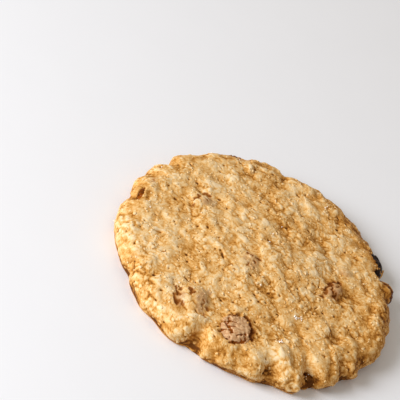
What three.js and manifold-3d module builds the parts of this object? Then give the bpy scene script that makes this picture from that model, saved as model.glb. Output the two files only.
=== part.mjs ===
// Oatmeal raisin cookie: a drop cookie baked into a low, craggy round with a lumpy rolled rim and a
// flat underside, and raisins caught in its face, rim and underside. Millimetres, +Z up. The cookie
// lies on its underside, and the origin is under its middle.
import * as THREE from "three";
import { mergeVertices } from "three/addons/utils/BufferGeometryUtils.js";
import Module from "manifold-3d";

const wasm = await Module();
wasm.setup();

// ---- driving dimensions ----
const COOKIE_RADIUS = 42.5;
const MIDDLE_HEIGHT = 10.4;
const SHOULDER_HEIGHT = 7.9; // where the face turns into the rim
const WIDEST_HEIGHT = 3.2; // where the rim reaches furthest out
const RIM_ROLL = 6; // the rim's width above the widest level
const FOOT_TUCK = 1.8; // how far the rim draws in below it
const RAISIN_CLEARANCE = 0.3; // between a raisin and its pocket in the dough
const LUMP_COUNT = 330;
const FACE_LUMP_RISE = 0.65; // a middling lump's height
const RIM_LUMP_RISE = 1.1;

// ---- mesh density ----
const FACE_RINGS = 28;
const ROLL_STEPS = 5;
const TUCK_STEPS = 3;
const LONG_RAISIN = 4.9; // a raisin with a longer half axis gets the finer mesh

const SHOULDER_RADIUS = COOKIE_RADIUS - RIM_ROLL;
const ROLL_HEIGHT = SHOULDER_HEIGHT - WIDEST_HEIGHT;

// The rim's lobes (out > 0) and notches (out < 0): plan angle and half width in degrees, reach in mm.
const RIM_LOBES = [
  { at: 358, wide: 6, out: 0.1 },
  { at: 12, wide: 5, out: -0.6 },
  { at: 23, wide: 4, out: -2.0 },
  { at: 36.3, wide: 2.3, out: -4.0 },
  { at: 41, wide: 2.4, out: 1.4 },
  { at: 46, wide: 4, out: -1.4 },
  { at: 56, wide: 6, out: 0.7 },
  { at: 76, wide: 5, out: 1.2 },
  { at: 82, wide: 2, out: -1.0 },
  { at: 86, wide: 4, out: 1.2 },
  { at: 92, wide: 3, out: -0.5 },
  { at: 102.3, wide: 2.4, out: -1.9 },
  { at: 107, wide: 4, out: 0.8 },
  { at: 115.5, wide: 3, out: 1.2 },
  { at: 121, wide: 4, out: -1.5 },
  { at: 134, wide: 4, out: 0.5 },
  { at: 142, wide: 4, out: -0.7 },
  { at: 151, wide: 4, out: 0.7 },
  { at: 159, wide: 4, out: -1.4 },
  { at: 172, wide: 5, out: -0.8 },
  { at: 186, wide: 4, out: -1.5 },
  { at: 207, wide: 8, out: 1.0 },
  { at: 226, wide: 3, out: -0.7 },
  { at: 240, wide: 7, out: 1.3 },
  { at: 256.5, wide: 6, out: 1.5 },
  { at: 266.2, wide: 2.8, out: -2.5 },
  { at: 276, wide: 4, out: -0.7 },
  { at: 285, wide: 4, out: -0.8 },
  { at: 298, wide: 3, out: -1.8 },
  { at: 308.5, wide: 3.2, out: 1.7 },
  { at: 314.8, wide: 2.9, out: -4.0 },
  { at: 331.5, wide: 2.6, out: -1.7 },
  { at: 339, wide: 2, out: 0.6 },
  { at: 344, wide: 5, out: -1.0 },
];

// Clefts that part the lobes: they run over the rim from a distance out, [half width, depth] in mm.
const CLEFTS = [
  { at: 31, from: 37, size: [1.2, 0.8] },
  { at: 59, from: 38, size: [1.4, 0.8] },
  { at: 101, from: 36, size: [1.4, 0.7] },
  { at: 158, from: 39, size: [1.4, 0.9] },
  { at: 187, from: 40, size: [1.3, 0.9] },
  { at: 226, from: 41, size: [1.2, 0.8] },
  { at: 266, from: 40, size: [1.5, 1.4] },
  { at: 296, from: 38, size: [1.3, 1.2] },
  { at: 314, from: 38, size: [1.6, 1.4] },
  { at: 332, from: 39, size: [1.2, 0.9] },
  { at: 341, from: 40, size: [1.4, 1.0] },
];

// Broad relief of the face: swells (rise > 0) and hollows (rise < 0), with the half length and half
// width in mm and the long axis's turn in degrees.
const SWELLS = [
  { at: [-18, -2], reach: [13, 3.6], turn: -48, rise: 0.7 },
  { at: [-1, 2], reach: [13, 4], turn: -32, rise: 0.5 },
  { at: [0, -16], reach: [8, 4], turn: -20, rise: 0.6 },
  { at: [13, 8], reach: [6, 4], turn: -60, rise: 0.5 },
  { at: [25, -13], reach: [5, 3.6], turn: -35, rise: 1.0 },
  { at: [30, 15], reach: [11, 4], turn: -62, rise: 0.5 },
  { at: [36, 3], reach: [5, 3], turn: 95, rise: 0.4 },
  { at: [23, 24], reach: [4, 4], turn: 0, rise: 0.4 },
  { at: [-31, -17], reach: [3.4, 3], turn: 0, rise: 0.5 },
  { at: [-23, -18], reach: [4, 3], turn: 30, rise: 0.4 },
  { at: [-28, -7], reach: [5, 3], turn: 0, rise: 0.4 },
  { at: [-17, -32], reach: [3.2, 4.5], turn: 10, rise: 0.6 },
  { at: [19, -30], reach: [5, 4], turn: -40, rise: 0.6 },
  { at: [32, -18], reach: [3, 3], turn: 0, rise: 0.5 },
  { at: [13, -13], reach: [4, 4], turn: 0, rise: 0.4 },
  { at: [4, 20], reach: [5, 3.4], turn: 75, rise: 0.4 },
  { at: [-6, 17], reach: [4, 3], turn: 20, rise: 0.35 },
  { at: [4, 30], reach: [6, 3], turn: 0, rise: 0.3 },
  { at: [-19, 25], reach: [7, 5], turn: 40, rise: 0.3 },
  { at: [1, -6], reach: [8, 2.6], turn: -36, rise: -0.6 },
  { at: [-20, 8], reach: [3.4, 2.6], turn: -50, rise: -0.6 },
  { at: [-22, -12], reach: [7, 2.2], turn: 6, rise: -0.55 },
  { at: [-23, -4], reach: [4, 2.2], turn: -60, rise: -0.4 },
  { at: [-16, 15], reach: [4, 3], turn: 0, rise: -0.35 },
  { at: [2, 11], reach: [6, 3], turn: -30, rise: -0.45 },
  { at: [10, 20], reach: [4.4, 2.6], turn: -35, rise: -0.6 },
  { at: [-9, 23], reach: [4, 3], turn: 0, rise: -0.35 },
  { at: [19, 14], reach: [5, 2.2], turn: -12, rise: -0.5 },
  { at: [22, -8], reach: [4, 2], turn: -20, rise: -0.5 },
  { at: [29, -12], reach: [1.6, 3.4], turn: 25, rise: -1.0 },
  { at: [36, -8], reach: [3.4, 3], turn: 0, rise: -0.6 },
  { at: [26, -23], reach: [4.4, 3], turn: 60, rise: -0.5 },
  { at: [17, -21], reach: [4, 2.6], turn: 0, rise: -0.35 },
  { at: [11, -29], reach: [5, 2], turn: 80, rise: -0.5 },
  { at: [-22, -29], reach: [3, 2.6], turn: 0, rise: -0.5 },
  { at: [-11, 36], reach: [4.4, 2.2], turn: 20, rise: -0.7 },
];

// The raisins: middle, half axes, turn of the long axis in plan and lean towards the rim in degrees.
const RAISINS = [
  { name: "raisin_front", at: [4.5, -32, 6.4], half: [5.9, 5.5, 3.4], turn: 100, lean: 8 },
  { name: "raisin_front_left", at: [-10, -31, 6], half: [5.6, 4.7, 3.4], turn: 60, lean: 8 },
  { name: "raisin_right", at: [21.8, 3.4, 6.7], half: [5.6, 3.2, 2.7], turn: 75, lean: 4 },
  { name: "raisin_back_left", at: [-23, 4.6, 6.4], half: [5, 3.4, 2.9], turn: 60, lean: 4 },
  { name: "raisin_middle", at: [-2.4, -5.6, 7.7], half: [3.6, 3, 2.7], turn: 30, lean: 0 },
  { name: "raisin_far_right", at: [22, 13.4, 6.6], half: [3.6, 2.6, 2.3], turn: 20, lean: 6 },
  { name: "raisin_left_rim", at: [-38.2, -4.2, 5.6], half: [4.4, 2.7, 2.6], turn: 98, lean: 35 },
  { name: "raisin_back_right_rim", at: [27.9, 27, 5], half: [5.2, 3, 2.8], turn: 128, lean: 40 },
  { name: "raisin_right_rim", at: [35.4, 19.6, 4.8], half: [3.6, 2.8, 2.6], turn: 122, lean: 50 },
  { name: "raisin_back_rim", at: [-22.6, 34.4, 3.2], half: [4.2, 2.6, 2.4], turn: 36, lean: 60 },
  { name: "raisin_under_right", at: [13, 15, 1.6], half: [4.8, 3.6, 2.7], turn: 25, lean: 0 },
  { name: "raisin_under_left", at: [-18, -10, 1.5], half: [4.6, 3.4, 2.5], turn: 130, lean: 0 },
];

const dough = new THREE.MeshStandardMaterial({ color: 0xd9ad73, roughness: 0.85, metalness: 0 });
const raisinSkin = new THREE.MeshStandardMaterial({ color: 0x6b3a26, roughness: 0.5, metalness: 0 });

// A repeatable random number between 0 and 1.
function randomSource(seed) {
  let state = seed;
  return () => {
    state = (state * 1664525 + 1013904223) % 4294967296;
    return state / 4294967296;
  };
}

// The lumps of oats and crumb: spread like sunflower seeds over the face and rim laid out flat.
function spreadLumps() {
  const random = randomSource(7);
  const goldenAngle = Math.PI * (3 - Math.sqrt(5));
  const reach = SHOULDER_RADIUS + 11;
  const lumps = [];
  for (let i = 0; i < LUMP_COUNT; i += 1) {
    const distance = reach * Math.sqrt((i + 0.5) / LUMP_COUNT) + (random() - 0.5) * 2;
    const angle = i * goldenAngle + (random() - 0.5) * (3 / Math.max(distance, 3));
    const size = 1.9 + 1.9 * random();
    const onRim = distance > SHOULDER_RADIUS;
    lumps.push({
      x: distance * Math.cos(angle),
      y: distance * Math.sin(angle),
      length: size * (1 + 0.45 * random()),
      width: size,
      turn: Math.PI * random(),
      rise: (onRim ? RIM_LUMP_RISE : FACE_LUMP_RISE) * (0.6 + 0.8 * random()),
    });
  }
  return lumps;
}
const LUMPS = spreadLumps();

// How far inside an ellipse a point lies: 1 at its middle, 0 on its outline, negative outside.
function insideEllipse(x, y, length, width, turn) {
  const along = (x * Math.cos(turn) + y * Math.sin(turn)) / length;
  const across = (-x * Math.sin(turn) + y * Math.cos(turn)) / width;
  return 1 - along * along - across * across;
}

function angleBetween(a, b) {
  return ((a - b + 540) % 360) - 180;
}

// How far the outline stands out at a plan angle.
function rimReach(angle) {
  const degrees = THREE.MathUtils.radToDeg(angle);
  let out = 0;
  for (const lobe of RIM_LOBES) {
    out += lobe.out * Math.exp(-((angleBetween(degrees, lobe.at) / lobe.wide) ** 2));
  }
  return out;
}

// The relief at a place given by its distance from the middle along the surface and its plan angle.
function relief(distance, angle) {
  const x = distance * Math.cos(angle);
  const y = distance * Math.sin(angle);
  let height = 0;
  for (const { at, reach, turn, rise } of SWELLS) {
    const inside = insideEllipse(x - at[0], y - at[1], ...reach, THREE.MathUtils.degToRad(turn));
    height += rise * Math.exp(1.6 * (inside - 1));
  }
  let lump = 0;
  for (const { x: atX, y: atY, length, width, turn, rise } of LUMPS) {
    const inside = insideEllipse(x - atX, y - atY, length, width, turn);
    if (inside > 0) lump = Math.max(lump, rise * Math.sqrt(inside));
  }
  for (const { at, from, size } of CLEFTS) {
    const aside = THREE.MathUtils.degToRad(angleBetween(THREE.MathUtils.radToDeg(angle), at)) * distance;
    const start = THREE.MathUtils.smoothstep(distance, from - 2, from + 2);
    height -= size[1] * start * Math.exp(-((aside / size[0]) ** 2));
  }
  return height + lump - FACE_LUMP_RISE / 2;
}

// The smooth body's section: a low dome to the shoulder, a rolled rim and a tucked-in foot.
function sectionRows() {
  const rows = [];
  for (let ring = 0; ring <= FACE_RINGS; ring += 1) {
    const radius = (SHOULDER_RADIUS * ring) / FACE_RINGS;
    const dome = 0.5 * (1 + Math.cos((Math.PI * radius) / SHOULDER_RADIUS));
    const height = SHOULDER_HEIGHT + (MIDDLE_HEIGHT - SHOULDER_HEIGHT) * dome;
    rows.push({ radius, height, normal: [0, 1], distance: radius });
  }
  let last = rows[FACE_RINGS];
  const addRimRow = (angle, width, rise) => {
    const radius = COOKIE_RADIUS - width + width * Math.cos(angle);
    const height = WIDEST_HEIGHT + rise * Math.sin(angle);
    const normal = [Math.cos(angle), Math.sin(angle)];
    const distance = last.distance + Math.hypot(radius - last.radius, height - last.height);
    last = { radius, height, normal, distance };
    rows.push(last);
  };
  for (let step = 1; step <= ROLL_STEPS; step += 1) {
    addRimRow((Math.PI / 2) * (1 - step / ROLL_STEPS), RIM_ROLL, ROLL_HEIGHT);
  }
  for (let step = 1; step <= TUCK_STEPS; step += 1) {
    addRimRow((-Math.PI / 2) * (step / TUCK_STEPS), FOOT_TUCK, WIDEST_HEIGHT);
  }
  return rows;
}

// One vertex of the dough: the section's row at a plan angle, with the outline and relief added.
function doughVertex(row, angle) {
  const nearRim = THREE.MathUtils.smoothstep(row.radius, 0.6 * SHOULDER_RADIUS, SHOULDER_RADIUS);
  const aboveFoot = THREE.MathUtils.smoothstep(row.height, 0.2, 0.8 * WIDEST_HEIGHT);
  const rise = relief(row.distance, angle) * aboveFoot;
  const radius = row.radius + rimReach(angle) * nearRim + row.normal[0] * rise;
  return [radius * Math.cos(angle), radius * Math.sin(angle), row.height + row.normal[1] * rise];
}

// The dough's closed surface: face rings of 6, 12, 18... vertices, rim rows as many as the last ring,
// and a flat underside.
function doughGeometry() {
  const rows = sectionRows();
  const positions = [];
  const starts = [];
  const counts = [];
  rows.forEach((row, index) => {
    const count = Math.max(1, 6 * Math.min(index, FACE_RINGS));
    starts.push(positions.length / 3);
    counts.push(count);
    for (let j = 0; j < count; j += 1) positions.push(...doughVertex(row, (2 * Math.PI * j) / count));
  });
  const vertex = (row, j) => starts[row] + (j % counts[row]);
  const triangles = [];
  for (let ring = 1; ring <= FACE_RINGS; ring += 1) {
    for (let side = 0; side < 6; side += 1) {
      for (let j = 0; j < ring; j += 1) {
        const outer = side * ring + j;
        const inner = side * (ring - 1) + j;
        triangles.push(vertex(ring, outer), vertex(ring, outer + 1), vertex(ring - 1, inner));
        if (j === ring - 1) continue;
        triangles.push(vertex(ring - 1, inner), vertex(ring, outer + 1), vertex(ring - 1, inner + 1));
      }
    }
  }
  for (let row = FACE_RINGS; row < rows.length - 1; row += 1) {
    for (let j = 0; j < counts[row]; j += 1) {
      triangles.push(vertex(row, j), vertex(row + 1, j), vertex(row + 1, j + 1));
      triangles.push(vertex(row, j), vertex(row + 1, j + 1), vertex(row, j + 1));
    }
  }
  const bottomRow = rows.length - 1;
  const middle = positions.length / 3;
  positions.push(0, 0, 0);
  for (let j = 0; j < counts[bottomRow]; j += 1) {
    triangles.push(vertex(bottomRow, j + 1), vertex(bottomRow, j), middle);
  }
  const geometry = new THREE.BufferGeometry();
  geometry.setAttribute("position", new THREE.Float32BufferAttribute(positions, 3));
  geometry.setIndex(triangles);
  return geometry;
}

// A raisin: an ellipsoid with folds running along it, turned, leaned and moved to its place.
function raisinGeometry({ at, half, turn, lean }, extra) {
  const geometry = new THREE.IcosahedronGeometry(1, half[0] > LONG_RAISIN ? 3 : 2);
  const position = geometry.attributes.position;
  const point = new THREE.Vector3();
  const phase = at[0] + 2 * at[1];
  for (let i = 0; i < position.count; i += 1) {
    point.fromBufferAttribute(position, i);
    const round = Math.atan2(point.z, point.y);
    const fold = Math.abs(Math.sin(2.5 * round + 1.4 * Math.sin(2.2 * point.x + phase) + phase));
    const dent = Math.sin(3 * point.x + 2 * point.y + phase) * Math.cos(2.6 * point.z - phase);
    const girth = 1 + (0.09 * fold + 0.05 * dent - 0.06) * (1 - point.x ** 4);
    point.multiplyScalar(girth);
    point.multiply(new THREE.Vector3(half[0] + extra, half[1] + extra, half[2] + extra));
    position.setXYZ(i, point.x, point.y, point.z);
  }
  geometry.rotateZ(THREE.MathUtils.degToRad(turn));
  const outward = Math.atan2(at[1], at[0]);
  const hinge = new THREE.Vector3(-Math.sin(outward), Math.cos(outward), 0);
  geometry.applyMatrix4(new THREE.Matrix4().makeRotationAxis(hinge, THREE.MathUtils.degToRad(lean)));
  geometry.translate(...at);
  return geometry;
}

function toSolid(geometry) {
  const bare = geometry.clone();
  bare.deleteAttribute("normal");
  bare.deleteAttribute("uv");
  const merged = mergeVertices(bare, 1e-4);
  return new wasm.Manifold(
    new wasm.Mesh({
      numProp: 3,
      vertProperties: new Float32Array(merged.attributes.position.array),
      triVerts: new Uint32Array(merged.index.array),
    }),
  );
}

function toMesh(name, solid, material) {
  const { vertProperties, triVerts } = solid.getMesh();
  const geometry = new THREE.BufferGeometry();
  geometry.setAttribute("position", new THREE.BufferAttribute(vertProperties, 3));
  geometry.setIndex(new THREE.BufferAttribute(triVerts, 1));
  geometry.computeVertexNormals();
  const mesh = new THREE.Mesh(geometry, material);
  mesh.name = name;
  return mesh;
}

// What a raisin baked against the tray loses: everything below the clearance over the underside.
function belowTray() {
  const slab = new THREE.BoxGeometry(2 * COOKIE_RADIUS, 2 * COOKIE_RADIUS, 10);
  slab.translate(0, 0, RAISIN_CLEARANCE - 5);
  return toSolid(slab);
}

const cookie = new THREE.Group();
let doughSolid = toSolid(doughGeometry());
for (const raisin of RAISINS) {
  const body = toSolid(raisinGeometry(raisin, 0)).subtract(belowTray());
  cookie.add(toMesh(raisin.name, body, raisinSkin));
  doughSolid = doughSolid.subtract(toSolid(raisinGeometry(raisin, RAISIN_CLEARANCE)));
}
cookie.add(toMesh("dough", doughSolid, dough));

// The origin is moved under the middle of the cookie's true outline.
const outline = new THREE.Box3().setFromObject(cookie);
cookie.position.set(-(outline.min.x + outline.max.x) / 2, -(outline.min.y + outline.max.y) / 2, 0);

export default cookie;
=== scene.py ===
import math

import bmesh
import bpy
import numpy as np
from mathutils import Matrix, Vector, kdtree, noise
from mathutils.bvhtree import BVHTree


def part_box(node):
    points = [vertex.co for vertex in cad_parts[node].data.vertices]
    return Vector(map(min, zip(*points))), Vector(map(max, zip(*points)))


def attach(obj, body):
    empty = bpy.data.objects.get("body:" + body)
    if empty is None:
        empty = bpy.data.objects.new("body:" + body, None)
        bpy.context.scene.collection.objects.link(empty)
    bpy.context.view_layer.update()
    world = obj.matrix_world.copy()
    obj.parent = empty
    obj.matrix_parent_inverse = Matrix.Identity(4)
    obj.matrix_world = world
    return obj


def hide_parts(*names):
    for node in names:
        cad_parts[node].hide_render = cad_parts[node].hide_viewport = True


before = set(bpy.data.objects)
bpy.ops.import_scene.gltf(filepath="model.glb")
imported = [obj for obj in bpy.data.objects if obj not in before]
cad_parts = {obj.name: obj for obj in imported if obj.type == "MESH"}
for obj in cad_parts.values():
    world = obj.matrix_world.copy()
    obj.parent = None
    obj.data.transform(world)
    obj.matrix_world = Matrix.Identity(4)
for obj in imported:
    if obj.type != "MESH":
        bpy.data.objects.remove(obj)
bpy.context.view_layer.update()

# ==== The dough ==================================================================================
# Oat dough dropped on a tray and baked: it slumps into a low round with a craggy face, a lumpy
# rolled rim and a flat underside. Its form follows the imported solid, and the grain, oat flakes,
# pores and cracks are added to that form at their real size. Lengths are in millimetres.

MM = 0.001
COOKIE_RADIUS = 42.5
MIDDLE_HEIGHT = 10.4
SHOULDER_HEIGHT = 7.9
WIDEST_HEIGHT = 3.2
RIM_ROLL = 6.0
FOOT_TUCK = 1.8
SHOULDER_RADIUS = COOKIE_RADIUS - RIM_ROLL
FOOT_RADIUS = COOKIE_RADIUS - FOOT_TUCK
FACE_RINGS = 134
ROLL_ROWS = 28
TUCK_ROWS = 10
BASE_RINGS = FACE_RINGS // 2
BASE_BORDER = 0.35
RAISINS = sorted(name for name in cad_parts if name.startswith("raisin"))
NOISE_SEED = 6
noise.seed_set(NOISE_SEED)
# Places in plan are given from a point near the cookie's middle, and the middle raisin shows where
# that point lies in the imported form.
MIDDLE_RAISIN = (-2.84, -5.26)
PLAN_ORIGIN = np.mean(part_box("raisin_middle"), 0)[:2] / MM - MIDDLE_RAISIN
COOKIE_MIDDLE = PLAN_ORIGIN + (-0.46, 0.32)


def section_rows():
    """The smooth body's rows from the middle of the face to the middle of the underside: radius,
    height, the outward direction in the section's plane, and a sixth of the row's points."""
    rows = []
    for ring in range(FACE_RINGS + 1):
        radius = SHOULDER_RADIUS * ring / FACE_RINGS
        dome = 0.5 * (1 + math.cos(math.pi * radius / SHOULDER_RADIUS))
        height = SHOULDER_HEIGHT + (MIDDLE_HEIGHT - SHOULDER_HEIGHT) * dome
        rows.append((radius, height, 0.0, 1.0, ring))
    for row in range(1, ROLL_ROWS + TUCK_ROWS + 1):
        if row <= ROLL_ROWS:
            angle = math.pi / 2 * (1 - row / ROLL_ROWS)
            width, rise = RIM_ROLL, SHOULDER_HEIGHT - WIDEST_HEIGHT
        else:
            angle = -math.pi / 2 * (row - ROLL_ROWS) / TUCK_ROWS
            width, rise = FOOT_TUCK, WIDEST_HEIGHT
        radius = COOKIE_RADIUS - width + width * math.cos(angle)
        height = WIDEST_HEIGHT + rise * math.sin(angle)
        rows.append((radius, height, math.cos(angle), math.sin(angle), FACE_RINGS))
    for ring in range(BASE_RINGS, -1, -1):
        rows.append(((FOOT_RADIUS - BASE_BORDER) * ring / BASE_RINGS, 0.0, 0.0, -1.0, ring))
    return rows


def rows_to_points(rows, sizes):
    """The smooth body's points and their outward directions, row by row."""
    points, outward = [], []
    for (radius, height, out, up, _), size in zip(rows, sizes):
        turn = 2 * np.pi * np.arange(size) / size
        across, along = np.cos(turn), np.sin(turn)
        points.append(np.stack([radius * across, radius * along, np.full(size, height)], 1))
        outward.append(np.stack([out * across, out * along, np.full(size, up)], 1))
    return np.concatenate(points), np.concatenate(outward)


def rows_to_triangles(sizes):
    """Triangles that join each row of points to the next: rows of equal length, a row of twice as
    many points as the next, or neighbouring rings of a disc."""
    starts = np.concatenate([[0], np.cumsum(sizes)])
    triangles = []
    for row, (size, after) in enumerate(zip(sizes, sizes[1:])):
        near, far = starts[row], starts[row + 1]
        if size == after:
            j = np.arange(size)
            k = (j + 1) % size
            triangles.append(np.stack([near + j, far + j, far + k], 1))
            triangles.append(np.stack([near + j, far + k, near + k], 1))
            continue
        if size == 2 * after:
            j = np.arange(after)
            a, b, c = near + 2 * j, near + 2 * j + 1, near + (2 * j + 2) % size
            d, e = far + j, far + (j + 1) % after
            for triangle in ([a, d, b], [b, d, e], [b, e, c]):
                triangles.append(np.stack(triangle, 1))
            continue
        grows = after > size
        ring = max(size, after) // 6
        outer, inner = (far, near) if grows else (near, far)
        side, j = [grid.ravel() for grid in np.meshgrid(range(6), range(ring), indexing="ij")]
        inner_size = max(1, 6 * (ring - 1))
        a = outer + side * ring + j
        b = outer + (side * ring + j + 1) % (6 * ring)
        c = inner + (side * (ring - 1) + j) % inner_size
        first = np.stack([a, b, c], 1)
        keep = j < ring - 1
        d = inner + (side * (ring - 1) + j + 1) % inner_size
        second = np.stack([c, b, d], 1)[keep]
        both = np.concatenate([first, second])
        triangles.append(both if grows else both[:, ::-1])
    return np.concatenate(triangles)


class Skin:
    """A closed mesh of triangles whose values and points can be smoothed over their neighbours."""

    def __init__(self, triangles, count):
        self.triangles = triangles
        self.count = count
        edges = np.concatenate([triangles[:, [0, 1]], triangles[:, [1, 2]], triangles[:, [2, 0]]])
        self.near, self.far = edges[:, 0], edges[:, 1]
        self.neighbours = np.bincount(self.near, minlength=count)

    def smooth(self, values, times):
        """Values eased towards the mean of their neighbours, a number of times."""
        columns = np.array(values, float).reshape(self.count, -1)
        for _ in range(times):
            for column in columns.T:
                total = np.bincount(self.near, column[self.far], self.count)
                column += 0.5 * (total / self.neighbours - column)
        return columns.reshape(np.shape(values))

    def normals(self, points):
        a, b, c = (points[self.triangles[:, k]] for k in range(3))
        face = np.cross(b - a, c - a)
        total = np.zeros_like(points)
        for corner in range(3):
            for axis in range(3):
                owner = self.triangles[:, corner]
                total[:, axis] += np.bincount(owner, face[:, axis], self.count)
        return total / np.linalg.norm(total, axis=1, keepdims=True)


def solid_of(node, swell=0.0):
    """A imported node's vertices and faces in millimetres, swollen about its middle."""
    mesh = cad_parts[node].data
    points = np.array([vertex.co for vertex in mesh.vertices]) / MM
    middle = (points.min(0) + points.max(0)) / 2
    reach = np.linalg.norm(points - middle, axis=1, keepdims=True)
    points = points + swell * (points - middle) / reach
    return points, [tuple(face.vertices) for face in mesh.polygons]


def smoothstep(low, high, value):
    share = np.clip((value - low) / (high - low), 0, 1)
    return share * share * (3 - 2 * share)


rows = section_rows()
sizes = [max(1, 6 * row[-1]) for row in rows]
body, outward = rows_to_points(rows, sizes)
dough_skin = Skin(rows_to_triangles(sizes), len(body))
row_of = np.repeat(np.arange(len(rows)), sizes)
on_underside = row_of > FACE_RINGS + ROLL_ROWS + TUCK_ROWS

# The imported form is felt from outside, towards the smooth body: first the dough alone, then with
# the raisins swollen by a film of dough. The underside is felt for raisins from below.
FILM = 0.35
FEELER = 6.0
TRAY_FEELER = 1.0
RIM_FROM = SHOULDER_RADIUS - 2
RIM_FULL = SHOULDER_RADIUS + 3


def feel(nodes):
    """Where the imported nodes' outside lies above the smooth body, and which node it is."""
    points, faces, owners = [], [], []
    start = 0
    for index, (node, swell) in enumerate(nodes):
        solid, polygons = solid_of(node, swell)
        points.extend(solid.tolist())
        faces.extend([tuple(start + v for v in face) for face in polygons])
        owners.extend([index] * len(polygons))
        start += len(solid)
    tree = BVHTree.FromPolygons(points, faces)
    height = np.zeros(len(body))
    owner = np.zeros(len(body), int)
    for i, (point, out) in enumerate(zip(body.tolist(), outward.tolist())):
        reach = TRAY_FEELER if on_underside[i] else FEELER
        direction = Vector(out)
        hit, _, face, distance = tree.ray_cast(Vector(point) + reach * direction, -direction)
        if hit is None:
            continue
        owner[i] = owners[face]
        if not on_underside[i]:
            height[i] = FEELER - distance
    return height, owner


covered, owner = feel([("dough", 0.0)] + [(name, FILM) for name in RAISINS])
over_raisin = dough_skin.smooth((owner > 0).astype(float), times=3)
covered = dough_skin.smooth(covered, times=9)
form = body + outward * covered[:, None]
form_normal = dough_skin.normals(form)
height_above_tray = form[:, 2]
from_middle = np.hypot(form[:, 0], form[:, 1])
rim = smoothstep(RIM_FROM, RIM_FULL, from_middle)
rim[on_underside] = 0

# The grain: rounded lumps of dough about 3 mm across with creases between, grains about half that
# size on them, and crumbs about half the size of those. Smooth clots of dough lie among them.
LUMP = 2.9
GRAIN = 1.3
CRUMB = 0.75
LUMP_RISE = 0.28
GRAIN_RISE = 0.2
CRUMB_RISE = 0.08
CLOT_RISE = 0.33
LUMP_BEND = 0.35 * LUMP
GRAIN_BEND = 0.4 * GRAIN
LUMP_BEND_SIZE = 4.0
GRAIN_BEND_SIZE = 1.1
SLUMP_WAY = math.radians(-55)
spots = [Vector(point) for point in form.tolist()]


def cobbles(spot, size, shift):
    """Rounded lumps of a size: near 1 on a lump's top and 0 in the creases around it."""
    near, seeds = noise.voronoi(spot / size + Vector((shift, 2 * shift, 3 * shift)))
    seed = seeds[0]
    proud = 0.7 + 0.3 * math.sin(91.7 * seed.x + 47.3 * seed.y + 33.1 * seed.z)
    return proud * min(1.0, 1.6 * (near[1] - near[0])) ** 0.7


def grain_of(size, shift, stretch=1.0):
    """Smooth noise of a size, drawn out along the way in which the dough slumped."""
    ahead = Vector((math.cos(SLUMP_WAY), math.sin(SLUMP_WAY), 0.0))
    squeeze = 1 / stretch - 1
    offset = Vector((shift, shift, shift))
    drawn = [(spot + squeeze * spot.dot(ahead) * ahead) / size + offset for spot in spots]
    return np.array([noise.noise(spot) for spot in drawn])


warp = [LUMP_BEND * noise.noise_vector(spot / LUMP_BEND_SIZE) for spot in spots]
jitter = [GRAIN_BEND * noise.noise_vector(spot / GRAIN_BEND_SIZE) for spot in spots]
lumps = np.array([cobbles(spot + bend, LUMP, shift=3.1) for spot, bend in zip(spots, warp)])
grains = np.array([cobbles(spot + bend, GRAIN, shift=7.7) for spot, bend in zip(spots, jitter)])
crumbs = np.array([cobbles(spot + bend, CRUMB, shift=1.9) for spot, bend in zip(spots, jitter)])
patches = smoothstep(-0.35, 0.35, grain_of(size=7.0, shift=11.3))
clots = 0.5 * grain_of(size=2.0, shift=4.4, stretch=1.2)
clots += 1.1 * grain_of(size=4.4, shift=8.8, stretch=1.4)

DOUGH_SEED = 20
BELOW_RIM_HANDICAP = 40
rng = np.random.default_rng(DOUGH_SEED)
tree = kdtree.KDTree(len(form))
for index, spot in enumerate(spots):
    tree.insert(spot, index)
tree.balance()


def around(place, reach):
    """The points within reach of a place, and their offsets from it."""
    found = np.array([index for _, index, _ in tree.find_range(Vector(place), reach)], int)
    return found, form[found] - np.array(place)


def on_face(x, y):
    """The point of the face or rim over a place in plan, before one below the rim's widest level."""
    gap = np.linalg.norm(form[:, :2] - PLAN_ORIGIN - (x, y), axis=1)
    above = np.where(on_underside, np.inf, gap ** 2)
    above = above + BELOW_RIM_HANDICAP * (form[:, 2] < WIDEST_HEIGHT)
    return form[int(np.argmin(above))]


# The oat flakes: flat ovals baked into the surface, each a little proud at one end.
FLAKES = 36
FLAKE_LENGTH = (1.7, 2.9)
FLAKE_WIDTH = (0.9, 1.5)
FLAKE_RISE = (0.05, 0.16)
FLAKE_TILT = 0.6
oat = np.zeros(len(form))
oat_rise = np.zeros(len(form))
upper = np.flatnonzero(~on_underside & (height_above_tray > 2))
for place in form[rng.choice(upper, FLAKES, replace=False)]:
    length = rng.uniform(*FLAKE_LENGTH)
    width = rng.uniform(*FLAKE_WIDTH)
    found, offset = around(place, length)
    normal = form_normal[found].mean(0)
    aside = np.cross(normal, rng.normal(size=3))
    aside /= np.linalg.norm(aside)
    ahead = np.cross(normal, aside)
    u, v = offset @ ahead, offset @ aside
    inside = smoothstep(0.0, 0.8, 1 - (u / length) ** 2 - (v / width) ** 2)
    rise = inside * rng.uniform(*FLAKE_RISE) * (1 + FLAKE_TILT * u / length)
    oat[found] = np.maximum(oat[found], inside)
    oat_rise[found] = np.maximum(oat_rise[found], rise)

# The pores and cracks: small blow-holes with painted shade inside, and short slits where the crust
# parted. There are more of them on the left, where the dough is airier.
PORES = 190
PORE_SIZE = (0.24, 0.42)
PORE_STRETCH = (1, 1.5)
PORE_DEPTH = (0.25, 0.6)
DARK_DEPTH = 0.35
SLITS = 20
SLIT_LENGTH = (0.5, 1.0)
SLIT_WIDTH = 0.22
AIRY_SHARE = 0.8
pore = np.zeros(len(form))
sunk = np.zeros(len(form))


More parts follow.
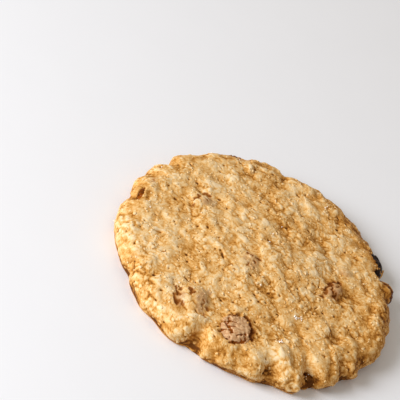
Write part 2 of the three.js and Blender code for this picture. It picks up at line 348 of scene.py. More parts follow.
def sink(place, length, width, deep, turn):
    """One pore or slit, as an oval hole with rounded lips."""
    found, offset = around(place, 2.2 * length)
    normal = form_normal[found].mean(0)
    ahead = np.array([math.cos(turn), math.sin(turn), 0])
    ahead = ahead - normal * (ahead @ normal)
    ahead /= np.linalg.norm(ahead)
    aside = np.cross(normal, ahead)
    fall = np.exp(-((offset @ ahead) / length) ** 2 - ((offset @ aside) / width) ** 2)
    # The pore value paints the inside darker the deeper it is: painted shade.
    pore[found] = np.maximum(pore[found], fall * min(1.0, deep / DARK_DEPTH))
    sunk[found] = np.maximum(sunk[found], deep * fall)


def sink_pore(place, sizes, depths):
    """A pore of a drawn size, depth and turn."""
    size = rng.uniform(*sizes)
    length = size * rng.uniform(*PORE_STRETCH)
    sink(place, length, size, rng.uniform(*depths), rng.uniform(0, math.pi))


airy = 1 - AIRY_SHARE * form[upper, 0] / COOKIE_RADIUS
airy /= airy.sum()
for place in form[rng.choice(upper, PORES, replace=False, p=airy)]:
    sink_pore(place, PORE_SIZE, PORE_DEPTH)
for place in form[rng.choice(upper, SLITS, replace=False)]:
    length = rng.uniform(*SLIT_LENGTH)
    sink(place, length, SLIT_WIDTH, rng.uniform(*PORE_DEPTH), rng.uniform(0, math.pi))

# The larger holes, each where the crust has one: place in plan, half length, half width, depth and
# turn in degrees.
HOLES = [
    (-28.5, -14.9, 1.3, 0.5, 1.2, 25), (-24.0, -21.4, 1.3, 0.45, 1.1, 20),
    (-14.5, -25.5, 1.4, 0.4, 1.1, 5), (-22.5, -30.6, 0.8, 0.5, 1.0, 40),
    (-18.5, -34.6, 0.7, 0.5, 0.9, 40), (6.7, 20.1, 0.8, 0.6, 1.0, 0),
    (-33.5, -14.4, 0.5, 0.4, 0.8, 0), (-33.5, -17.5, 0.5, 0.4, 0.8, 0),
    (-32.0, -9.7, 0.5, 0.4, 0.8, 0), (0.0, -38.3, 0.6, 0.5, 0.9, 0),
    (3.7, -23.3, 0.6, 0.45, 0.9, 0), (3.3, -16.9, 0.5, 0.4, 0.8, 0),
    (7.0, -17.2, 0.5, 0.45, 0.8, 0), (7.5, -25.3, 0.5, 0.5, 0.9, 0),
    (19.9, -10.0, 0.5, 0.4, 0.8, 0), (22.5, -20.5, 0.5, 0.4, 0.8, 0),
    (-9.5, 19.7, 0.6, 0.5, 0.9, 0), (-6.5, 17.9, 0.6, 0.45, 0.8, 0),
    (-10.0, -10.6, 1.9, 0.45, 0.9, -50), (17.0, -36.6, 0.7, 0.6, 1.2, 80),
    (28.6, -29.0, 1.0, 0.6, 1.2, 80), (26.4, -11.0, 2.8, 0.6, 1.0, -31),
    (30.9, 22.2, 2.4, 0.9, 1.9, -72), (1.6, -9.0, 0.45, 0.4, 0.8, 0),
    (-0.5, -11.8, 0.5, 0.4, 0.8, 60), (28.7, 2.2, 0.7, 0.5, 0.9, 0),
]
HOLE_SHARE = 0.8
HOLE_DEPTH_SHARE = 0.7
for x, y, length, width, deep, turn in HOLES:
    length, width = HOLE_SHARE * length, HOLE_SHARE * width
    sink(on_face(x, y), length, width, HOLE_DEPTH_SHARE * deep, math.radians(turn))

# The underside is pressed flat by the tray, with shallow blow-holes.
TRAY_HOLES = 260
TRAY_HOLE_SIZE = (0.25, 0.85)
TRAY_HOLE_DEPTH = (0.05, 0.3)
for place in form[rng.choice(np.flatnonzero(on_underside), TRAY_HOLES, replace=False)]:
    sink_pore(place, TRAY_HOLE_SIZE, TRAY_HOLE_DEPTH)

# The crust's relief: lumps, clots, grains, crumbs and oats together. It is lower on smoother patches,
# on oats and over raisins, and it fades towards the tray.
COBBLE_LEVEL = 0.6
SMOOTHER_LUMPS = 0.45
SMOOTHER_GRAINS = 0.4
OAT_SMOOTHNESS = 0.5
RIM_SMOOTHNESS = 0.15
RAISIN_SMOOTHNESS = 0.25
RIM_SINKING = 0.35
FADING_HEIGHT = 1.2
TRAY_GRAIN = 0.06
on_oat = 1 - OAT_SMOOTHNESS * oat
crumb = LUMP_RISE * (lumps - COBBLE_LEVEL) * (1 - SMOOTHER_LUMPS * (1 - patches))
crumb *= 1 - RIM_SMOOTHNESS * rim
crumb += CLOT_RISE * clots
crumb += GRAIN_RISE * (grains - COBBLE_LEVEL) * (1 - SMOOTHER_GRAINS * (1 - patches)) * on_oat
crumb += CRUMB_RISE * (crumbs - COBBLE_LEVEL) * on_oat + oat_rise - RIM_SINKING * rim
crumb *= 1 - RAISIN_SMOOTHNESS * over_raisin
crumb *= smoothstep(0.0, FADING_HEIGHT, height_above_tray)
crumb[on_underside] = -TRAY_GRAIN * smoothstep(0.0, 0.5, grains[on_underside])

# Where a raisin lies bare the dough draws back and ends below the raisin's skin. Each patch is an
# oval with ragged edges: place in plan, half length, half width, turn in degrees, and its depth.
RAGGED_EDGE = (-0.1, 0.4)
ragged = 0.5 * grain_of(size=1.0, shift=2.2) + 0.3 * (grains - 0.5)


def oval(x, y, length, width, turn):
    """The points of the face inside an oval: 1 within its edge and 0 outside it."""
    turn = math.radians(turn)
    dx, dy = (form[:, :2] - PLAN_ORIGIN - (x, y)).T
    u = dx * math.cos(turn) + dy * math.sin(turn)
    v = dy * math.cos(turn) - dx * math.sin(turn)
    inside = 1 - (u / length) ** 2 - (v / width) ** 2
    return ~on_underside * smoothstep(*RAGGED_EDGE, inside + ragged * (inside > -1))


BARE = [
    (4.0, -31.7, 5.6, 5.2, 100, 1.2), (-39.1, -4.7, 2.9, 0.9, 95, 1.1),
    (28.9, 28.9, 4.2, 2.4, 132, 1.3), (38.2, 21.2, 2.8, 1.0, 118, 1.1),
    (-23.6, 35.4, 2.6, 1.6, 36, 1.3),
]
BARE_BELOW = 0.9
BARE_EDGE_BELOW = (0.35, 0.6)
bare = np.zeros(len(form))
drawn_back = np.zeros(len(form))
for *patch, deep in BARE:
    inside = oval(*patch)
    bare = np.maximum(bare, inside)
    drawn_back = np.maximum(drawn_back, deep * inside)
bare[on_underside] = smoothstep(*BARE_EDGE_BELOW, over_raisin[on_underside])
drawn_back[on_underside] = BARE_BELOW * bare[on_underside]

# Elsewhere only a film of dough covers the raisin, dusky where it is thin. Each patch is an oval as
# above, with the film's share last. Beside them crumbs of dough stand pale and proud.
FILMED = [
    (-7.9, -30.2, 4.3, 2.5, -64, 0.75), (-13.2, -33.6, 2.6, 1.5, -70, 0.8),
    (-7.7, -25.4, 1.4, 0.9, 0, 0.7), (21.3, 3.1, 4.7, 2.7, 80, 1.0),
    (-22.3, 6.8, 3.5, 2.7, 57, 0.7), (-2.5, -6.6, 3.8, 2.8, -60, 0.65),
    (-38.5, 2.2, 2.0, 1.0, 90, 0.5), (21.4, 13.2, 3.0, 1.6, 20, 0.5),
]
PALE_CRUMBS = [
    (-9.2, -34.5, 1.9, 1.5, 0, 0.25), (-12.0, -33.0, 1.8, 1.3, 0, 0.15),
    (-23.9, 1.4, 3.5, 1.5, -74, 0.22),
]
# The lobe over the raisin on the right rim, the crevice beside it and the dough around the raisin on
# the left rim are darker, each by the share last in its patch.
DARKER_PATCHES = [
    (35.2, 18.6, 4.0, 3.0, -40, 0.14), (31.0, 22.3, 3.6, 1.8, -72, 0.24),
    (-39.0, -4.5, 5.0, 3.0, 95, 0.16),
]
film = np.zeros(len(form))
for *patch, share in FILMED:
    film = np.maximum(film, share * oval(*patch))
pale_crumb = np.zeros(len(form))
for *patch, rise in PALE_CRUMBS:
    pale_crumb = np.maximum(pale_crumb, rise * oval(*patch))
crumb += pale_crumb
darker_patches = np.zeros(len(form))
for *patch, share in DARKER_PATCHES:
    darker_patches = np.maximum(darker_patches, share * oval(*patch))

# The seams in which a raisin's dark skin shows through, with painted shade in the gaps beside the
# raisins: half width, how dark, and the run in plan.
SEAMS = [
    (0.5, 1.0, [(0.5, -29.0), (1.5, -28.4), (2.6, -26.8)]),
    (0.45, 1.0, [(0.7, -30.3), (1.3, -31.2), (1.0, -32.5), (1.5, -33.0), (2.0, -33.3)]),
    (0.5, 1.0, [(2.6, -33.7), (3.4, -34.5)]), (0.45, 0.7, [(1.9, -29.5), (2.7, -29.5)]),
    (0.3, 0.9, [(5.2, -34.6), (6.0, -33.6), (6.5, -32.7), (7.2, -31.9)]),
    (0.5, 1.0, [(4.4, -25.8), (5.9, -26.6), (7.0, -27.9)]),
    (0.65, 1.0, [(7.0, -27.9), (7.9, -28.7), (8.4, -30.7), (8.9, -31.3)]),
    (0.45, 0.9, [(4.7, -37.4), (6.3, -35.7), (7.4, -34.4), (7.6, -33.5), (7.4, -33.1)]),
    (0.45, 0.9, [(0.7, -35.1), (0.9, -34.7), (1.3, -33.9)]),
    (0.3, 0.5, [(-0.1, -34.2), (-0.7, -32.5)]),
    (0.3, 0.8, [(3.6, -36.2), (3.7, -36.3)]), (0.4, 0.6, [(-15.8, -30.5), (-14.9, -32.3)]),
    (0.5, 0.7, [(-14.9, -32.3), (-14.8, -33.9), (-14.3, -34.4), (-13.6, -35.4), (-12.9, -35.8)]),
    (0.4, 0.6, [(-14.3, -32.2), (-13.6, -32.6)]),
    (0.35, 0.55, [(-13.0, -34.3), (-12.4, -34.6), (-11.7, -34.8)]),
    (0.4, 0.6, [(-14.6, -29.7), (-14.4, -30.3)]), (0.3, 0.3, [(-11.6, -28.6), (-11.4, -28.6)]),
    (0.5, 0.65, [(-12.6, -28.9), (-11.9, -29.8), (-11.4, -30.5), (-10.9, -29.8)]),
    (0.3, 0.4, [(-7.3, -30.2), (-6.8, -30.4), (-7.0, -31.4)]),
    (0.3, 0.4, [(-6.5, -29.0), (-6.2, -29.2)]),
    (0.35, 0.45, [(-5.5, -31.0), (-4.9, -31.3)]), (0.35, 0.4, [(-5.7, -33.3), (-4.6, -34.6)]),
    (0.4, 0.9, [(19.3, 4.8), (19.5, 6.0), (20.1, 6.6), (21.0, 7.6), (21.8, 8.2), (22.4, 8.0)]),
    (0.75, 1.0, [(19.5, 4.9), (19.9, 4.4)]), (0.4, 0.7, [(19.6, 3.4), (19.4, 1.9), (18.7, 1.1)]),
    (0.35, 0.6, [(19.4, 2.4), (19.7, 1.0), (19.8, 0.0)]), (0.6, 0.7, [(19.1, -1.7), (19.7, -1.5)]),
    (0.4, 0.95, [(20.3, 4.4), (20.9, 3.1), (21.5, 1.9)]),
    (0.3, 0.6, [(22.3, 2.6), (22.6, 2.0)]), (0.55, 0.9, [(22.2, 1.0), (22.8, 1.7)]),
    (0.35, 0.8, [(21.8, 5.3), (22.3, 6.6)]), (0.35, 0.35, [(23.1, 6.4), (23.6, 6.3), (23.5, 5.1)]),
    (0.32, 0.65, [(-25.1, 6.7), (-25.3, 5.5), (-25.6, 4.5), (-25.8, 3.3)]),
    (0.3, 0.6, [(-24.4, 9.6), (-23.6, 9.7), (-23.0, 9.5), (-22.4, 9.3)]),
    (0.3, 0.5, [(-23.2, 6.4), (-22.6, 6.3), (-22.1, 6.1)]),
    (0.35, 0.5, [(-24.9, 1.9), (-24.9, 1.2)]), (0.3, 0.45, [(-24.4, 0.0), (-24.2, -0.3)]),
    (0.25, 0.4, [(-38.4, 3.2), (-38.4, 1.4)]), (0.4, 0.65, [(-4.7, -4.6), (-4.2, -4.7), (-3.4, -4.9)]),
    (0.4, 0.6, [(-2.0, -4.3), (-1.4, -4.2), (-0.6, -4.4)]), (0.55, 0.7, [(-1.5, -6.3), (-1.3, -6.1)]),
    (0.35, 0.5, [(-2.9, -7.6), (-3.0, -8.4), (-2.5, -9.3)]),
    (0.8, 1.0, [(33.7, 21.1), (35.0, 21.0), (36.3, 20.4), (37.4, 19.9), (38.0, 18.6)]),
]
SEAM_DEPTH = 0.4
SEAM_WAVER = 0.7
WAVER_SIZE = 0.9
FAINTEST_SEAM = 0.5
CLEAR_OF_TRAY = 0.02


def along_seams(places):
    """How far each place lies in a seam, from 0 to 1. The seams waver and fade along their runs."""
    waver = np.array([noise.noise_vector(Vector(place) / WAVER_SIZE) for place in places.tolist()])
    plan = places[:, :2] + SEAM_WAVER * waver[:, :2] - PLAN_ORIGIN
    share = np.zeros(len(places))
    for width, dark, run in SEAMS:
        for start, end in zip(np.array(run)[:-1], np.array(run)[1:]):
            way = end - start
            t = np.clip((plan - start) @ way / (way @ way), 0, 1)
            gap = np.linalg.norm(plan - start - t[:, None] * way, axis=1)
            share = np.maximum(share, dark * np.exp(-0.7 * (gap / width) ** 3))
    return share * np.clip(1.1 + 1.2 * waver[:, 2], FAINTEST_SEAM, 1)


seam = np.where(on_underside, 0, along_seams(form))
relief = crumb - sunk - drawn_back - SEAM_DEPTH * seam

dough_points = form + form_normal * relief[:, None]
dough_points[:, 2] = np.maximum(dough_points[:, 2], CLEAR_OF_TRAY)
dough_points[on_underside, 2] = np.maximum(-relief[on_underside], 0.0)
dough_normal = dough_skin.normals(dough_points)

# How brown the crust is at each point, from 0 on the palest crumbs to 1 where it is near black, with
# painted shade in it. The hollows are darker than what stands proud, partly browner and partly painted
# shade: how many times the relief is eased to find the hollows of a size, and how much darker they
# are.
EVEN_BROWNING = 0.4
HOLLOW_BROWNING_AND_SHADE = [(4, 0.082), (30, 0.062), (200, 0.049)]
BROAD_HOLLOW_BROWNING_AND_SHADE = 0.06
RIGHT_SIDE_PAINTED_SHADE = 0.04
PALEST, BROWNEST = -2, 3


def hollows(heights, times):
    """How far each point lies below its surroundings, as a share of the usual depth."""
    depth = dough_skin.smooth(heights, times) - heights
    return np.clip(depth / depth[~on_underside].std(), PALEST, BROWNEST)


browning = np.full(len(form), EVEN_BROWNING)
for times, share in HOLLOW_BROWNING_AND_SHADE:
    browning += share * hollows(crumb, times)
# The broad hollows of the form are darkened too: painted shade.
browning += BROAD_HOLLOW_BROWNING_AND_SHADE * hollows(covered, times=150)
# The right side, turned from the lamp, is darkened: painted shade.
browning += RIGHT_SIDE_PAINTED_SHADE * form[:, 0] / COOKIE_RADIUS

# The edge is toned by the way it faces: painted shade on the shoulder and the rim at the back right,
# painted light on the rim at the front, and painted shadow on the wall on the right. The rim and the
# wall below it are also browner all round. A stretch is the way it faces and its spread, in degrees
# around the cookie, and how much darker it is.
SHOULDER_PAINTED_SHADE = (32, 60, 0.1)
RIM_PAINTED_SHADE = (32, 28, 0.25)
RIM_PAINTED_LIGHT = (290, 50, -0.2)
WALL_PAINTED_SHADOW = (345, 25, 0.2)
RIM_BROWNING = 0.03
WALL_BROWNING = 0.1
SHOULDER_REACH = (29, 34)
WALL_REACH = (38.5, 41.5)
# Towards the tray the foot is browner still: from one height, down to another, and by how much.
FOOT_BROWNING = [(3.2, 0.8, 0.12), (1.1, 0.1, 0.3)]
PALE_CRUMB_BROWNING = 0.7
BARE_PAINTED_SHADE = 0.2
OAT_PALENESS = 0.03
TRAY_BROWNING = 0.62
TRAY_EDGE_BROWNING = 0.2
TRAY_EDGE = (26, 40)
bearing = np.degrees(np.arctan2(form[:, 1], form[:, 0]))


def stretch(way, spread, share):
    """A share of painted shade (light where negative), whole where the edge faces a way, 0 beside it.
    """
    gap = (bearing - way + 180) % 360 - 180
    return share * np.exp(-((gap / spread) ** 2))


shoulder = smoothstep(*SHOULDER_REACH, from_middle) * (1 - rim)
wall = smoothstep(*WALL_REACH, from_middle) * rim
browning += stretch(*SHOULDER_PAINTED_SHADE) * shoulder
browning += (RIM_BROWNING + stretch(*RIM_PAINTED_SHADE) + stretch(*RIM_PAINTED_LIGHT)) * (rim - wall)
browning += (WALL_BROWNING + stretch(*WALL_PAINTED_SHADOW)) * wall
for high, low, share in FOOT_BROWNING:
    browning += share * smoothstep(high, low, height_above_tray) * rim
# The dough drawn back below a bare raisin is darkened: painted shade in that recess.
browning += PALE_CRUMB_BROWNING * pale_crumb + darker_patches + BARE_PAINTED_SHADE * bare - OAT_PALENESS * oat
tray_edge = smoothstep(*TRAY_EDGE, from_middle[on_underside])
browning[on_underside] = TRAY_BROWNING + TRAY_EDGE_BROWNING * tray_edge


def make_piece(name, points, triangles, values):
    """A smooth mesh object with a value for each point under each name."""
    mesh = bpy.data.meshes.new(name)
    mesh.from_pydata((points * MM).tolist(), [], triangles.tolist())
    for title, value in values.items():
        attribute = mesh.attributes.new(title, "FLOAT", "POINT")
        attribute.data.foreach_set("value", np.asarray(value, np.float32))
    mesh.shade_smooth()
    piece = bpy.data.objects.new(name, mesh)
    bpy.context.scene.collection.objects.link(piece)
    return piece


class Wire:
    """A node's output that can be written in sums: each operator adds its Math node."""

    def __init__(self, finish, socket):
        self.finish = finish
        self.socket = socket

    def maths(self, operation, *values):
        settings = {"operation": operation}
        return self.finish.node("ShaderNodeMath", settings, dict(enumerate(values)))[0]

    def __add__(self, other):
        return self.maths("ADD", self, other)

    def __sub__(self, other):
        return self.maths("SUBTRACT", self, other)

    def __mul__(self, other):
        return self.maths("MULTIPLY", self, other)

    __radd__ = __add__
    __rmul__ = __mul__


class Finish:
    """A material, whose nodes are added one at a time and wired by expression."""

    def __init__(self, name):
        self.material = bpy.data.materials.new(name)
        self.material.use_nodes = True
        self.tree = self.material.node_tree
        self.tree.nodes.clear()

    def node(self, kind, settings, sockets):
        """One node: its settings first, then the values or wires of its sockets."""
        made = self.tree.nodes.new(kind)
        for title, value in settings.items():
            if title == "stops":
                self.set_stops(made.color_ramp.elements, value)
            else:
                setattr(made, title, value)
        for title, value in sockets.items():
            if isinstance(value, Wire):
                self.tree.links.new(value.socket, made.inputs[title])
            else:
                made.inputs[title].default_value = value
        return [Wire(self, socket) for socket in made.outputs]

    @staticmethod
    def set_stops(ramp, stops):
        ramp[0].position, ramp[-1].position = stops[0][0], stops[-1][0]
        for position, _ in stops[1:-1]:
            ramp.new(position)
        for stop, (_, colour) in zip(ramp, stops):
            stop.color = (*colour, 1)

    def value(self, title):
        """A value that the mesh carries for each point."""
        return self.node("ShaderNodeAttribute", {"attribute_name": title}, {})[2]

    def between(self, share, low, high):
        """The share's way from low to high, eased and kept between 0 and 1."""
        settings = {"interpolation_type": "SMOOTHSTEP"}
        return self.node("ShaderNodeMapRange", settings, {0: share, 1: low, 2: high})[0]

    def blend(self, share, first, second):
        """A colour between two others."""
        settings = {"data_type": "RGBA", "clamp_factor": True}
        colours = {6: first, 7: second}
        colours = {key: c if isinstance(c, Wire) else (*c, 1) for key, c in colours.items()}
        return self.node("ShaderNodeMix", settings, {0: share, **colours})[2]

    def noise(self, place, scale, detail=3.0):
        sockets = {"Vector": place, "Scale": scale, "Detail": detail}
        return self.node("ShaderNodeTexNoise", {}, sockets)[0]

    def surface(self, sockets):
        shader = self.node("ShaderNodeBsdfPrincipled", {}, sockets)[0]
        self.node("ShaderNodeOutputMaterial", {}, {"Surface": shader})


# From cream on the proud crumbs through gold and tan to near black, the painted shade in the pores.
CRUST_STOPS = [
    (0.0, (0.825, 0.64, 0.395)),
    (0.22, (0.785, 0.535, 0.25)),
    (0.42, (0.70, 0.395, 0.13)),
    (0.60, (0.54, 0.25, 0.05)),
    (0.78, (0.36, 0.135, 0.016)),
    (1.0, (0.13, 0.04, 0.004)),
]
FILM_DUSKY = (0.50, 0.28, 0.13)
SEAM_RUSSET = (0.34, 0.12, 0.02)
SEAM_BROWN = (0.125, 0.028, 0.0)

MOTTLE_MEAN = 0.93
PORE_PAINTED_SHADE = 0.5

crust = Finish("oat_crust")
place = crust.node("ShaderNodeTexCoord", {}, {})[3]
drift = crust.noise(place, scale=90.0)
mottle = crust.noise(place, scale=420.0)
freckle = crust.noise(place, scale=1300.0)
speck = crust.noise(place, scale=2600.0, detail=2.0)
tone = crust.value("browning") + 0.72 * drift + 0.44 * mottle + 0.34 * freckle + 0.3 * speck
tone = tone - MOTTLE_MEAN
# The pores' insides are darkened: painted shade.
tone = tone + PORE_PAINTED_SHADE * crust.between(crust.value("pore"), 0.25, 0.7)
colour = crust.node("ShaderNodeValToRGB", {"stops": CRUST_STOPS}, {0: tone})[0]
thin = crust.value("film") * crust.between(mottle + 0.5 * freckle, 0.5, 0.85)
colour = crust.blend(thin, colour, FILM_DUSKY)
split = crust.value("seam")
# The seams are darkened: the raisin's dark skin, and painted shade in the gaps beside the raisins.
colour = crust.blend(crust.between(split, 0.0, 0.45), colour, SEAM_RUSSET)
colour = crust.blend(crust.between(split, 0.3, 0.8), colour, SEAM_BROWN)
grit = {"Strength": 0.1, "Distance": 0.0003, "Height": freckle + 0.6 * speck}
crust.surface({
    "Base Color": colour,
    "Roughness": 0.45 + 0.35 * mottle,
    "Specular IOR Level": 0.1,
    "Normal": crust.node("ShaderNodeBump", {}, grit)[0],
})

dough_values = {"browning": browning, "pore": pore, "film": film, "seam": seam}
dough = make_piece("oat_dough", dough_points, dough_skin.triangles, dough_values)
dough.data.materials.append(crust.material)
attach(dough, "root")
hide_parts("dough")

# ==== The crumbs =================================================================================
# Broken oats and grains of sugar and flour that clot as the dough bakes. Each is a knobbly grain
# half sunk in the crust, paler than the gaps around it, with painted light on its top and painted
# shade on its lower side.

COARSE_CRUMBS = 450
COARSE_SIZE = (0.26, 0.55)
FINE_CRUMBS = 1000
FINE_SIZE = (0.2, 0.4)
# A crumb's half length, half width and half height as shares of its size, smallest and largest.
FLATTEST_CRUMB = (0.9, 0.75, 0.3)
ROUNDEST_CRUMB = (1.4, 1.1, 0.5)
KNOB_REACH = (0.8, 1.15)
# The higher the power, the more of the crumbs are small. Over raisins they are smaller still.
SMALLNESS_POWER = 1.8
SMALLER_OVER_RAISIN = 0.4
LOWEST_CRUMB = 0.9
CRUMB_CLEAR_OF_TRAY = 0.05
CRUMB_BROWNING = 0.36
CRUMB_BROWNING_SPREAD = 0.08
CRUMB_PAINTED_LIGHT_AND_SHADE = 0.14


def unit_ball(subdivisions):
    """The points and triangles of an even ball."""
    ball = bpy.data.meshes.new("ball")
    shape = bmesh.new()
    bmesh.ops.create_icosphere(shape, subdivisions=subdivisions, radius=1.0)
    shape.to_mesh(ball)
    shape.free()
    points = np.array([vertex.co for vertex in ball.vertices])
    triangles = np.array([face.vertices for face in ball.polygons])
    bpy.data.meshes.remove(ball)
    return points, triangles


def unit(vectors):
    return vectors / np.linalg.norm(vectors, axis=-1, keepdims=True)


def scatter_crumbs(name, count, smallest, largest, subdivisions, seed):
    """A piece of crumbs, spread over the face and rim by a seeded draw."""
    draw = np.random.default_rng(seed)
    ball, triangles = unit_ball(subdivisions)
    whole_crust = (bare < 0.05) & (seam < 0.2)
    above_foot = ~on_underside & (height_above_tray > LOWEST_CRUMB)
    chosen = draw.choice(np.flatnonzero(above_foot & whole_crust), count, replace=False)
    up = unit(dough_skin.smooth(dough_normal, times=3)[chosen])
    aside = unit(np.cross(up, draw.normal(size=(count, 3))))
    ahead = np.cross(up, aside)
    size = smallest + (largest - smallest) * draw.random(count) ** SMALLNESS_POWER
    size *= 1 - SMALLER_OVER_RAISIN * over_raisin[chosen]
    shape = size[:, None] * draw.uniform(FLATTEST_CRUMB, ROUNDEST_CRUMB, (count, 3))
    knobs = draw.uniform(*KNOB_REACH, (count, len(ball), 1))
    local = ball * knobs * shape[:, None]
    points = dough_points[chosen][:, None] + local[..., :1] * ahead[:, None]
    points = points + local[..., 1:2] * aside[:, None] + local[..., 2:] * up[:, None]
    points = points.reshape(-1, 3)
    points[:, 2] = np.maximum(points[:, 2], CRUMB_CLEAR_OF_TRAY)
    shifts = len(ball) * np.arange(count)
    triangles = (triangles + shifts[:, None, None]).reshape(-1, 3)
    own = draw.normal(CRUMB_BROWNING, CRUMB_BROWNING_SPREAD, count)
    own += 0.5 * (browning[chosen] - EVEN_BROWNING)
    values = {
        # Tops are painted lighter and lower sides darker: painted light and shade.
        "browning": (own[:, None] - CRUMB_PAINTED_LIGHT_AND_SHADE * ball[:, 2]).ravel(),
        "pore": np.zeros(len(points)),
        "film": np.repeat(film[chosen], len(ball)),
        "seam": np.zeros(len(points)),
    }
    piece = make_piece(name, points, triangles, values)
    piece.data.materials.append(crust.material)
    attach(piece, "root")


scatter_crumbs("coarse_crumbs", COARSE_CRUMBS, *COARSE_SIZE, subdivisions=2, seed=31)
scatter_crumbs("fine_crumbs", FINE_CRUMBS, *FINE_SIZE, subdivisions=1, seed=32)

# ==== The raisins ================================================================================
# Dried grapes, plumped and baked in the dough. The skin is folded in flat facets with creases
# between, filmed pale by the dough where it is bare, and near black where the oven caught it.

RAISIN_SUBDIVISIONS = 6
# For each raisin: how deeply it is folded and the size of a fold in millimetres, how pale the
# dough's film makes it, and how far the oven burnt it.
RAISIN_LOOKS = {
    "raisin_front": (0.45, 5.0, 1.0, 0.0),
    "raisin_front_left": (0.4, 3.2, 0.45, 0.0),
    "raisin_right": (0.5, 2.6, 0.25, 0.0),
    "raisin_back_left": (0.45, 2.4, 0.35, 0.0),
    "raisin_middle": (0.35, 2.0, 0.6, 0.3),
    "raisin_left_rim": (0.4, 2.4, -0.3, 0.0),
    "raisin_back_right_rim": (0.4, 2.6, -0.3, 1.0),
    "raisin_right_rim": (0.4, 2.6, 0.1, 0.6),
}
PLAIN_LOOK = (0.4, 2.6, 0.2, 0.3)
CAP_HEIGHT = 1.0
CAP_FLATNESS = 0.5
CAP_EDGE = (0.7, 2.2)
SKIN_FEELER = 30
SKIN_INSET = 0.05
FOLD_BEND = 0.25
CRACK_WIDTH = 0.35
CRACK_DEPTH = 0.8
WRINKLE_DEPTH = 0.3
ball_points, ball_triangles = unit_ball(RAISIN_SUBDIVISIONS)
ball_skin = Skin(ball_triangles, len(ball_points))


def raisin_form(node):
    """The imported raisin's form on the ball's finer mesh, eased so that its facets don't show."""
    points, faces = solid_of(node)
    middle = (points.min(0) + points.max(0)) / 2
    tree = BVHTree.FromPolygons(points.tolist(), faces)
    reach = np.zeros(len(ball_points))
    for index, direction in enumerate(ball_points.tolist()):
        outside = Vector(middle) + SKIN_FEELER * Vector(direction)
        hit, _, _, distance = tree.ray_cast(outside, -Vector(direction))
        reach[index] = SKIN_FEELER - distance if hit is not None else 1.0
    reach = ball_skin.smooth(reach, times=14)
    return middle + ball_points * reach[:, None]


SKIN_FILMED = (0.66, 0.42, 0.225)
SKIN_ROSY = (0.50, 0.27, 0.125)
SKIN_RED = (0.29, 0.07, 0.001)
SKIN_BROWN = (0.14, 0.032, 0.0)
SKIN_BURNT = (0.016, 0.006, 0.004)
raisin_skin = Finish("raisin_skin")
place = raisin_skin.node("ShaderNodeTexCoord", {}, {})[3]
cloud = raisin_skin.noise(place, scale=350.0)
speck = raisin_skin.noise(place, scale=1500.0)
pale = raisin_skin.value("pale")
crease = raisin_skin.value("crease")
colour = raisin_skin.blend(raisin_skin.between(cloud, 0.4, 0.6), SKIN_BROWN, SKIN_RED)
colour = raisin_skin.blend(raisin_skin.value("burnt"), colour, SKIN_BURNT)
filmed = raisin_skin.blend(raisin_skin.between(speck, 0.42, 0.6), SKIN_ROSY, SKIN_FILMED)
powder = raisin_skin.between(pale + 0.9 * cloud + 0.5 * speck - 0.6 * crease, 0.75, 1.15)
colour = raisin_skin.blend(powder, colour, filmed)
wrinkles = {"Strength": 0.5, "Distance": 0.0002, "Height": speck + cloud}
raisin_skin.surface({
    "Base Color": colour,
    "Roughness": 0.34 + 0.3 * powder,
    "Specular IOR Level": 0.15,
    "Normal": raisin_skin.node("ShaderNodeBump", {}, wrinkles)[0],
})

for index, name in enumerate(RAISINS):
    deep, size, pale, burnt = RAISIN_LOOKS.get(name, PLAIN_LOOK)
    base = raisin_form(name)
    above = np.maximum(0, base[:, 2] - (base[:, 2].max() - CAP_HEIGHT))
    base[:, 2] -= CAP_FLATNESS * above
    shift = Vector((7.3 * index, 3.1 * index, 5.7))
    creases, wrinkle, fading = [], [], []
    for point in base.tolist():
        spot = Vector(point) / size + shift
        bend = FOLD_BEND * noise.noise_vector(2 * spot)
        near, _ = noise.voronoi(spot + bend)
        creases.append(near[1] - near[0])
        wrinkle.append(abs(noise.noise(2.6 * spot + 2 * bend)) + 0.5 * abs(noise.noise(6 * spot)))
        fading.append(noise.noise(1.7 * spot + shift))
    creases = np.array(creases)
    cracks = np.exp(-((creases * size / CRACK_WIDTH) ** 2))
    cracks *= smoothstep(-0.15, 0.25, np.array(fading))
    folds = deep * (np.minimum(creases, 0.5) - 0.25) - CRACK_DEPTH * deep * cracks
    folds += WRINKLE_DEPTH * deep * (np.array(wrinkle) - 0.3)
    split = np.where(ball_points[:, 2] > 0, along_seams(base), 0)
    rise = folds - SKIN_INSET - SEAM_DEPTH * split
    points = base + ball_skin.normals(base) * rise[:, None]
    points[:, 2] = np.maximum(points[:, 2], base[:, 2].min())
    # The crease value darkens the skin: its own darker cracks, and painted shade in the fold hollows
    # and seams.
    hollow = ball_skin.smooth(folds, times=24) - folds
    below_cap = smoothstep(*CAP_EDGE, base[:, 2].max() - base[:, 2])
    values = {
        "crease": 1.2 * cracks + 3 * hollow + 2 * split,
        "pale": pale - 0.8 * below_cap,
        "burnt": np.full(len(points), burnt),
    }
    piece = make_piece(name + "_skin", points, ball_triangles, values)
    piece.data.materials.append(raisin_skin.material)
    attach(piece, "root")
    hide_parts(name)

# ==== The sugar ==================================================================================
# A few coarse sugar crystals that did not melt lie on the crust and glint.

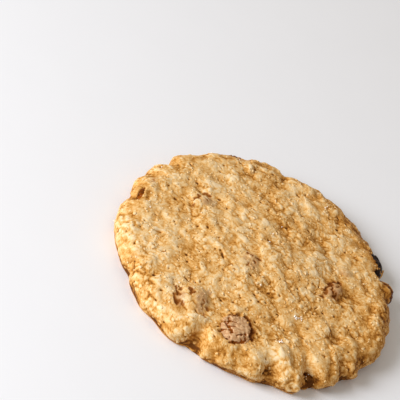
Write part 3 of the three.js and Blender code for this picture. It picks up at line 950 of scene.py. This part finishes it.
SUGAR_CLUSTERS = [(15.9, -14.8), (17.4, -14.3), (16.0, -25.9)]
CLUSTER_CRYSTALS = 7
CLUSTER_SPREAD = 0.9
STRAY_CRYSTALS = 16
CRYSTAL_SIZE = (0.09, 0.19)
CRYSTAL_SIDES = (0.7, 1.2)
CRYSTAL_LIFT = 0.12
SUGAR_SEED = 41
SUGAR_GREY = (0.92, 0.86, 0.76)
SUGAR_WHITE = (0.98, 0.95, 0.90)
CUBE = np.array([[x, y, z] for x in (-1, 1) for y in (-1, 1) for z in (-1, 1)], float)
CUBE_SIDES = np.array([
    [0, 1, 3], [0, 3, 2], [4, 6, 7], [4, 7, 5], [0, 4, 5], [0, 5, 1],
    [2, 3, 7], [2, 7, 6], [0, 2, 6], [0, 6, 4], [1, 5, 7], [1, 7, 3],
])
draw = np.random.default_rng(SUGAR_SEED)
at = [on_face(x, y) for x, y in SUGAR_CLUSTERS for _ in range(CLUSTER_CRYSTALS)]
at = np.array(at) + draw.normal(0, CLUSTER_SPREAD / 2, (len(at), 3)) * (1, 1, 0)
strays = form[draw.choice(upper, STRAY_CRYSTALS)]
at = [on_face(x, y) for x, y, _ in at] + list(strays)
grounds = [int(tree.find(Vector(spot))[1]) for spot in at]
crystals = []
for ground in grounds:
    first = unit(draw.normal(size=3))
    second = unit(np.cross(first, draw.normal(size=3)))
    axes = np.stack([first, second, np.cross(first, second)])
    size = draw.uniform(*CRYSTAL_SIZE) * draw.uniform(*CRYSTAL_SIDES, 3)
    lift = CRYSTAL_LIFT * dough_normal[ground]
    crystals.append(dough_points[ground] + lift + (CUBE * size) @ axes)
shifts = len(CUBE) * np.arange(len(crystals))
sides = (CUBE_SIDES + shifts[:, None, None]).reshape(-1, 3)
sugar = make_piece("sugar_crystals", np.concatenate(crystals), sides, {})
sugar.data.shade_flat()
glint = Finish("sugar")
cloudy = glint.noise(glint.node("ShaderNodeTexCoord", {}, {})[3], scale=3000.0)
glint.surface({
    "Base Color": glint.blend(cloudy, SUGAR_GREY, SUGAR_WHITE),
    "Roughness": 0.12 + 0.2 * cloudy,
    "Specular IOR Level": 0.7,
})
sugar.data.materials.append(glint.material)
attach(sugar, "root")

# ==== The floor, lights and camera ===============================================================
# A pale floor, one broad soft lamp low on the left and an even sky, and the camera looking down on
# the face.

FLOOR_SHADE = (0.86, 0.88, 0.93)
FLOOR_PALE = (0.88, 0.90, 0.95)
bpy.ops.mesh.primitive_plane_add(size=6)
floor = bpy.context.object
floor.name = "floor"
paper = Finish("pale_floor")
grain = paper.noise(paper.node("ShaderNodeTexCoord", {}, {})[3], scale=60.0)
paper.surface({"Base Color": paper.blend(grain, FLOOR_SHADE, FLOOR_PALE), "Roughness": 0.9})
floor.data.materials.append(paper.material)

TARGET = Vector((*COOKIE_MIDDLE, 5.0)) * MM
LAMP_WAY = Vector((-0.75, -0.5, 0.5)).normalized()
LAMP_DISTANCE = 0.85
lamp = bpy.data.lights.new("broad_lamp", "AREA")
lamp.energy = 8.5
lamp.size = 0.45
lamp.color = (0.975, 0.99, 1.02)
lamp_object = bpy.data.objects.new("broad_lamp", lamp)
lamp_object.location = TARGET + LAMP_DISTANCE * LAMP_WAY
lamp_object.rotation_euler = LAMP_WAY.to_track_quat("Z", "Y").to_euler()
bpy.context.scene.collection.objects.link(lamp_object)

sky = bpy.data.worlds.new("sky")
sky.use_nodes = True
background = sky.node_tree.nodes["Background"]
background.inputs["Color"].default_value = (1.0, 0.9, 0.77, 1)
background.inputs["Strength"].default_value = 0.44
bpy.context.scene.world = sky
bpy.context.scene.view_settings.view_transform = "Standard"

# The camera looks down at the cookie from in front. It is turned so that the cookie's middle lies on
# the target pixel, off the middle of the view, and rolled so that the cookie leans in the view.
IMAGE = 400
ELEVATION = math.radians(40.0)
ROLL = math.radians(32.86)
DISTANCE = 0.55
PIXELS_PER_METRE = 3528.3
TARGET_PIXEL = (259.07, 263.15)
SENSOR = 36.0
focal = PIXELS_PER_METRE * DISTANCE
back = Vector((0, -math.cos(ELEVATION), math.sin(ELEVATION)))
level = Vector((1, 0, 0))
upright = back.cross(level)
right = level * math.cos(ROLL) + upright * math.sin(ROLL)
up = upright * math.cos(ROLL) - level * math.sin(ROLL)
square_on = Matrix((right, up, back)).transposed()
aside_pixels = TARGET_PIXEL[0] - IMAGE / 2
above_pixels = IMAGE / 2 - TARGET_PIXEL[1]
sight = Vector((aside_pixels / focal, above_pixels / focal, -1))
turn = (square_on @ sight).rotation_difference(-back)
camera = bpy.data.objects.new("camera", bpy.data.cameras.new("camera"))
camera.data.sensor_width = SENSOR
camera.data.lens = SENSOR * focal / IMAGE
camera.data.clip_start = 0.01
camera.matrix_world = Matrix.Translation(TARGET + DISTANCE * back) @ (
    turn.to_matrix() @ square_on
).to_4x4()
bpy.context.scene.collection.objects.link(camera)
bpy.context.scene.camera = camera
